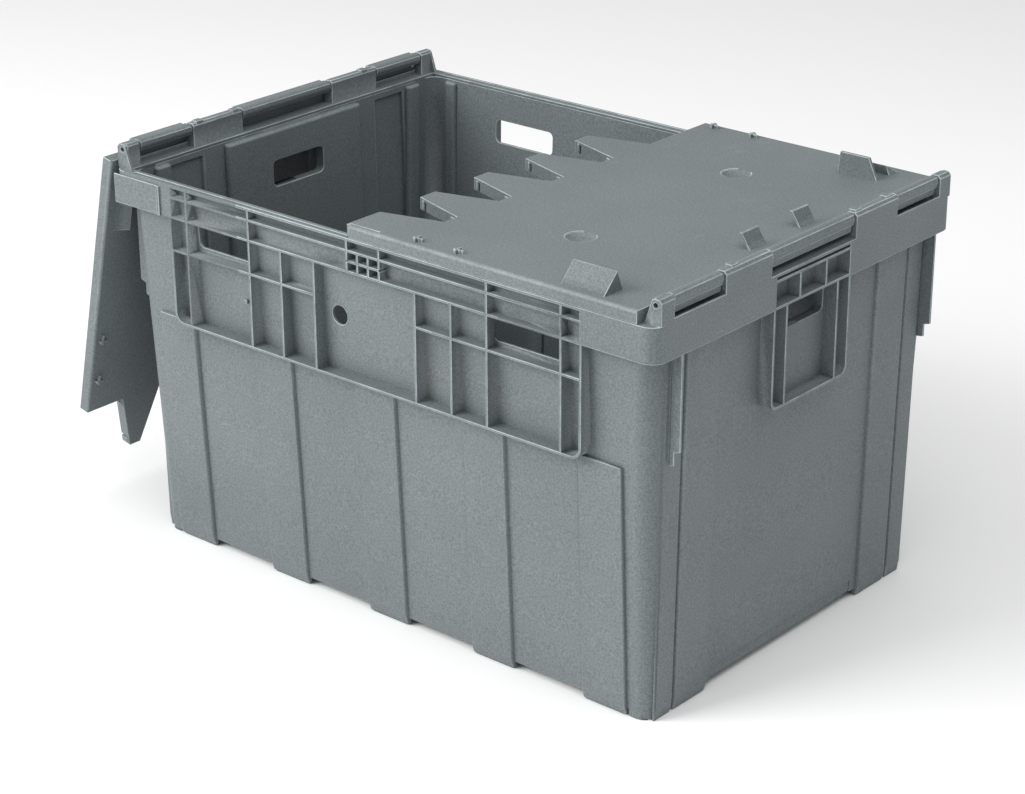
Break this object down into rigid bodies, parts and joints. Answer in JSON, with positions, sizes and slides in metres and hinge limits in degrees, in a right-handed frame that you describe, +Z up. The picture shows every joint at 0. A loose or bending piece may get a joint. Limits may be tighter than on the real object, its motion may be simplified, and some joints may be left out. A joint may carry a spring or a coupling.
{
  "type": "attached lid tote",
  "caption": "Large grey plastic tote with drafted walls, ribbed hand-hold bands and toothed lids hinged on steel rods at its ends.",
  "frame": {"origin": "centre of the tub's footprint in the plane of the feet, at the gate pad under the floor", "axes": "+X from the open left-hand end to the end with the closed lid, -Y out of the long side with the label plate, +Z up"},
  "size_m": [0.7946, 0.4825, 0.443],
  "materials": {
    "tub_plastic": "fine matt grain, slightly green grey, pale worn rib edges",
    "rod_steel": "plain drawn steel rod"
  },
  "bodies": {
    "tub": {"floor_panel": "tub_plastic", "front_wall": "tub_plastic", "back_wall": "tub_plastic", "left_end_wall": "tub_plastic", "right_end_wall": "tub_plastic", "corner_posts": "tub_plastic", "corner_fins": "tub_plastic", "front_band_rows": "tub_plastic", "front_band_posts": "tub_plastic", "back_band_rows": "tub_plastic", "back_band_posts": "tub_plastic", "front_skirt_wings": "tub_plastic", "back_skirt_wings": "tub_plastic", "left_end_skirt": "tub_plastic", "right_end_skirt": "tub_plastic", "left_handle_frame": "tub_plastic", "right_handle_frame": "tub_plastic", "left_hinge_rail": "tub_plastic", "right_hinge_rail": "tub_plastic", "label_plate": "tub_plastic", "left_hinge_rod": "rod_steel", "right_hinge_rod": "rod_steel"},
    "left_lid": {"left_lid_panel": "tub_plastic", "left_lid_teeth": "tub_plastic", "left_lid_knuckles": "tub_plastic", "left_lid_lugs": "tub_plastic"},
    "right_lid": {"right_lid_panel": "tub_plastic", "right_lid_teeth": "tub_plastic", "right_lid_knuckles": "tub_plastic", "right_lid_lugs": "tub_plastic"}
  },
  "joints": [
    {"name": "left_lid_hinge", "type": "hinge", "parent": "tub", "child": "left_lid", "pos_m": [-0.343, 0, 0.427], "axis": [0, 1, 0], "range_deg": [0, 257.5]},
    {"name": "right_lid_hinge", "type": "hinge", "parent": "tub", "child": "right_lid", "pos_m": [0.343, 0, 0.427], "axis": [0, 1, 0], "range_deg": [0, 257.5]}
  ]
}
